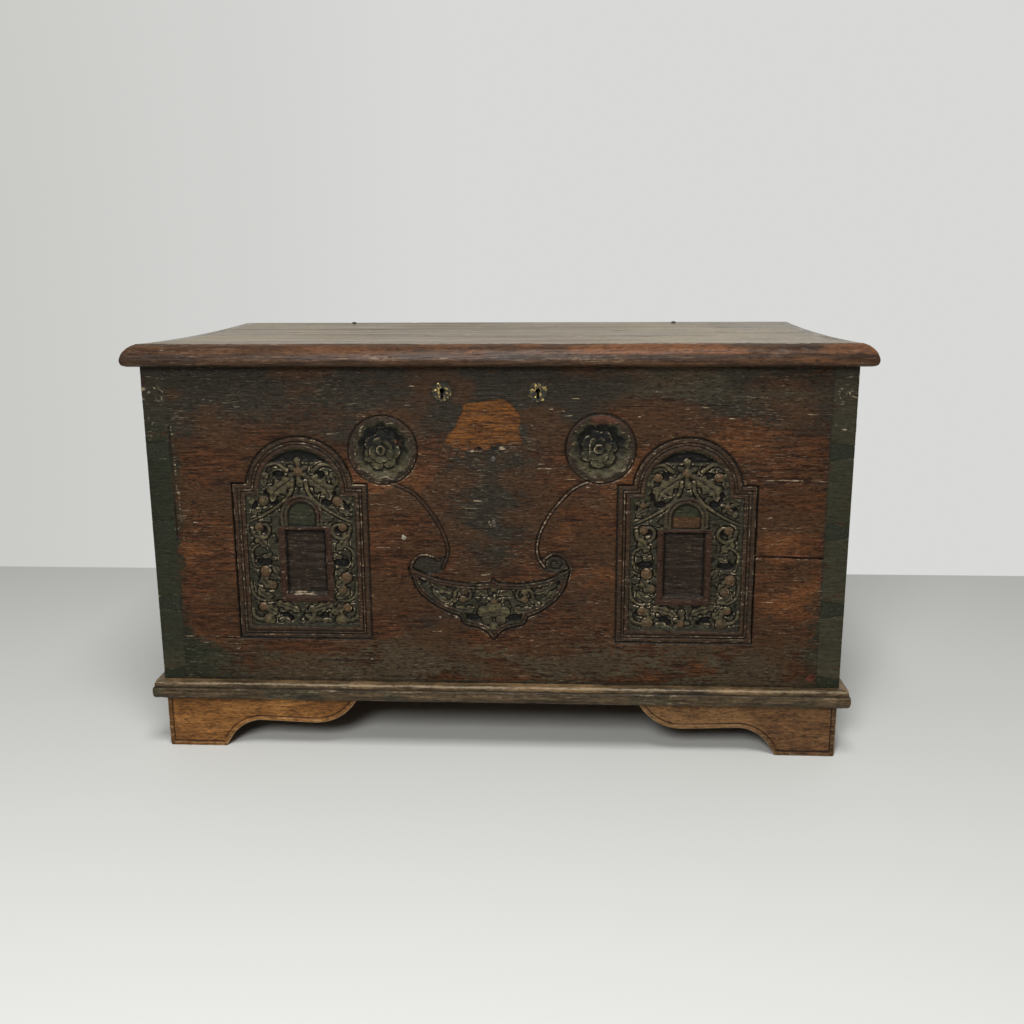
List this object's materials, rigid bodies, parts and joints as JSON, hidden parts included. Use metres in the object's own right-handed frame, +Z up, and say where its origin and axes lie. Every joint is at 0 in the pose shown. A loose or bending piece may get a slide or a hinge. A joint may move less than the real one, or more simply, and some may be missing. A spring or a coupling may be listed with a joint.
{
  "type": "wooden box",
  "caption": "Low carved hardwood storage chest: dovetailed carcase, moulded lid hinged at the rear, brass keyholes with locks, moulded base and bracket feet.",
  "frame": {"origin": "on the floor, under the middle of the chest's outline", "axes": "+Z up, the carved front faces -Y, +X to the right seen from the front"},
  "size_m": [1.022, 0.547, 0.5974],
  "materials": {
    "carved_front": "dark aged hardwood with worn green and brown paint in the carving",
    "carcase_wood": "dark aged hardwood, satin",
    "lid_wood": "greyed waxed hardwood with long grain",
    "lid_moulding_wood": "red-brown hardwood, rubbed on the nose",
    "base_wood": "grey-brown worn hardwood",
    "foot_wood": "warm brown hardwood with a dark outline",
    "raw_wood": "unfinished dusty hardwood",
    "iron": "dark wrought iron",
    "brass": "tarnished brass"
  },
  "bodies": {
    "carcase": {"front_panel": "carved_front", "back_panel": "carcase_wood", "left_end_panel": "carcase_wood", "right_end_panel": "carcase_wood", "floor_board_front": "raw_wood", "floor_board_middle": "raw_wood", "floor_board_rear": "raw_wood", "base_moulding_front": "base_wood", "base_moulding_left": "base_wood", "base_moulding_right": "base_wood", "base_rail_rear": "base_wood", "foot_front_left_front_bracket": "foot_wood", "foot_front_left_side_bracket": "foot_wood", "foot_front_left_block": "raw_wood", "foot_front_right_front_bracket": "foot_wood", "foot_front_right_side_bracket": "foot_wood", "foot_front_right_block": "raw_wood", "foot_rear_left_rear_bracket": "foot_wood", "foot_rear_left_side_bracket": "foot_wood", "foot_rear_left_block": "raw_wood", "foot_rear_right_rear_bracket": "foot_wood", "foot_rear_right_side_bracket": "foot_wood", "foot_rear_right_block": "raw_wood", "hinge_left_body_leaf": "iron", "hinge_left_pin": "iron", "hinge_left_nail_upper": "iron", "hinge_left_nail_lower": "iron", "hinge_right_body_leaf": "iron", "hinge_right_pin": "iron", "hinge_right_nail_upper": "iron", "hinge_right_nail_lower": "iron", "lock_left_escutcheon": "brass", "lock_left_case": "iron", "lock_right_escutcheon": "brass", "lock_right_case": "iron", "hasp_nail_upper": "iron", "hasp_nail_lower": "iron"},
    "lid": {"lid_board_front": "lid_wood", "lid_board_rear": "lid_wood", "lid_moulding_front": "lid_moulding_wood", "lid_moulding_left": "lid_moulding_wood", "lid_moulding_right": "lid_moulding_wood", "lid_batten_left": "raw_wood", "lid_batten_right": "raw_wood", "hinge_left_lid_leaf": "iron", "hinge_left_rivet": "iron", "hinge_right_lid_leaf": "iron", "hinge_right_rivet": "iron", "lock_left_staple": "iron", "lock_right_staple": "iron"},
    "left_barrel": {"lock_left_barrel": "brass"},
    "left_bolt": {"lock_left_bolt": "iron"},
    "right_barrel": {"lock_right_barrel": "brass"},
    "right_bolt": {"lock_right_bolt": "iron"}
  },
  "joints": [
    {"name": "lid_hinge", "type": "hinge", "parent": "carcase", "child": "lid", "pos_m": [0, 0.2648, 0.5614], "axis": [-1, 0, 0], "range_deg": [0, 110]},
    {"name": "left_key_turn", "type": "hinge", "parent": "carcase", "child": "left_barrel", "pos_m": [-0.071, -0.2219, 0.5306], "axis": [0, 1, 0], "range_deg": [0, 90]},
    {"name": "left_bolt_slide", "type": "slide", "parent": "carcase", "child": "left_bolt", "axis": [1, 0, 0], "range_m": [0, 0.01205]},
    {"name": "right_key_turn", "type": "hinge", "parent": "carcase", "child": "right_barrel", "pos_m": [0.06, -0.2219, 0.5306], "axis": [0, 1, 0], "range_deg": [0, 90]},
    {"name": "right_bolt_slide", "type": "slide", "parent": "carcase", "child": "right_bolt", "axis": [1, 0, 0], "range_m": [0, 0.01205]}
  ],
  "couplings": [
    {"joint": "left_bolt_slide", "follows": "left_key_turn", "m_per_rad": 0.0076526},
    {"joint": "right_bolt_slide", "follows": "right_key_turn", "m_per_rad": 0.0076526}
  ]
}
